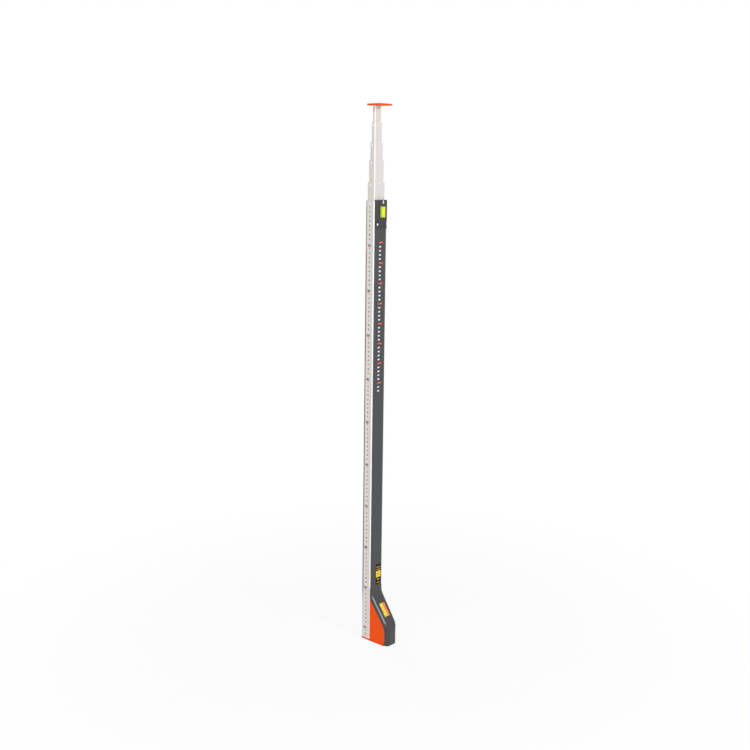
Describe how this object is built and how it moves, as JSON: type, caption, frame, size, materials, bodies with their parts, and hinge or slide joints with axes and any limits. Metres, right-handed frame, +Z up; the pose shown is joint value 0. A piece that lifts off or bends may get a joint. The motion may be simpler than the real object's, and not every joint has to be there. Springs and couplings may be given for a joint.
{
  "type": "telescopic measuring rod",
  "caption": "Telescopic measuring rod of nested box tubes that slide out of a foot with tape reel, reading window, printed scale, level vial and flat top plate.",
  "frame": {"origin": "centre of the tube at the underside of the base plate", "axes": "+Z up along the tubes, -Y the front with cover strip, vial and reading window, -X the face with the printed scale"},
  "size_m": [0.0396, 0.0817, 1.2327],
  "materials": {
    "tube_aluminium": "satin anodised",
    "scale_print": "printed strip",
    "cover_grey": "matte dark grey",
    "housing_plastic": "moulded dark grey",
    "orange_plastic": "moulded orange",
    "label_black": "printed plate",
    "button_white": "moulded white",
    "bush_plastic": "moulded pale grey",
    "shoe_plastic": "moulded black",
    "vial_acrylic": "clear yellow block",
    "vial_spirit": "yellow green liquid",
    "window_clear": "clear lens",
    "tape_yellow": "painted steel tape",
    "reel_plastic": "moulded",
    "screw_steel": "zinc plated",
    "spring_steel": "blued strip"
  },
  "bodies": {
    "outer": {"outer_tube": "tube_aluminium", "scale_strip": "scale_print", "front_cover": "cover_grey", "label_plate": "label_black", "top_cap": "housing_plastic", "cap_screw": "screw_steel", "level_vial": "vial_acrylic", "vial_plug": "vial_acrylic", "vial_fluid": "vial_spirit", "guide_bush_1": "bush_plastic", "base_plate": "orange_plastic", "base_screws": "screw_steel", "base_plug": "shoe_plastic", "foot_housing": "housing_plastic", "side_cover_left": "orange_plastic", "side_cover_right": "orange_plastic", "housing_screws": "screw_steel", "reading_window": "window_clear", "index_plate": "orange_plastic", "reel_axle": "screw_steel", "tape_guide_run": "tape_yellow", "tape_mast_low": "tape_yellow", "roller_pin": "screw_steel", "roller_block": "shoe_plastic"},
    "reel": {"reel_spool": "reel_plastic", "tape_winding": "tape_yellow", "return_spring": "spring_steel"},
    "roller": {"guide_roller": "button_white"},
    "section_2": {"section_2_tube": "tube_aluminium", "glide_shoe_2": "shoe_plastic", "guide_bush_2": "bush_plastic"},
    "section_3": {"section_3_tube": "tube_aluminium", "glide_shoe_3": "shoe_plastic", "guide_bush_3": "bush_plastic"},
    "section_4": {"section_4_tube": "tube_aluminium", "glide_shoe_4": "shoe_plastic", "guide_bush_4": "bush_plastic"},
    "section_5": {"section_5_tube": "tube_aluminium", "glide_shoe_5": "shoe_plastic", "guide_bush_5": "bush_plastic"},
    "section_6": {"section_6_tube": "tube_aluminium", "glide_shoe_6": "shoe_plastic", "top_plug": "shoe_plastic", "anchor_screw": "screw_steel", "top_plate": "orange_plastic", "plate_screws": "screw_steel", "tape_mast_high": "tape_yellow"},
    "button_1": {"brake_button_1": "button_white"},
    "button_2": {"brake_button_2": "button_white"},
    "button_3": {"brake_button_3": "button_white"},
    "button_4": {"brake_button_4": "button_white"},
    "button_5": {"brake_button_5": "button_white"}
  },
  "joints": [
    {"name": "section_2_slide", "type": "slide", "parent": "outer", "child": "section_2", "axis": [0, 0, 1], "range_m": [-0.0387, 0.7508]},
    {"name": "section_3_slide", "type": "slide", "parent": "section_2", "child": "section_3", "axis": [0, 0, 1], "range_m": [-0.0476, 0.7419]},
    {"name": "section_4_slide", "type": "slide", "parent": "section_3", "child": "section_4", "axis": [0, 0, 1], "range_m": [-0.0374, 0.7521]},
    {"name": "section_5_slide", "type": "slide", "parent": "section_4", "child": "section_5", "axis": [0, 0, 1], "range_m": [-0.0423, 0.7472]},
    {"name": "section_6_slide", "type": "slide", "parent": "section_5", "child": "section_6", "axis": [0, 0, 1], "range_m": [-0.0333, 0.7545]},
    {"name": "reel_spin", "type": "hinge", "parent": "outer", "child": "reel", "pos_m": [-0.0009, -0.04065, 0.04966], "axis": [-1, 0, 0], "range_deg": [-107.1, 2383.8]},
    {"name": "roller_spin", "type": "hinge", "parent": "outer", "child": "roller", "pos_m": [-0.0009, -0.00415, 0.13714], "axis": [1, 0, 0], "range_deg": [-461.7, 10418.8]},
    {"name": "button_1_press", "type": "slide", "parent": "outer", "child": "button_1", "axis": [1, 0, 0], "range_m": [0, 0.00035], "stiffness_N_per_m": 2000},
    {"name": "button_2_press", "type": "slide", "parent": "section_2", "child": "button_2", "axis": [1, 0, 0], "range_m": [0, 0.00035], "stiffness_N_per_m": 2000},
    {"name": "button_3_press", "type": "slide", "parent": "section_3", "child": "button_3", "axis": [1, 0, 0], "range_m": [0, 0.00035], "stiffness_N_per_m": 2000},
    {"name": "button_4_press", "type": "slide", "parent": "section_4", "child": "button_4", "axis": [1, 0, 0], "range_m": [0, 0.00035], "stiffness_N_per_m": 2000},
    {"name": "button_5_press", "type": "slide", "parent": "section_5", "child": "button_5", "axis": [1, 0, 0], "range_m": [0, 0.00035], "stiffness_N_per_m": 2000}
  ],
  "couplings": [
    {"joint": "reel_spin", "follows": "section_6_slide", "rad_per_m": 55.096},
    {"joint": "roller_spin", "follows": "section_6_slide", "rad_per_m": 240.96}
  ]
}
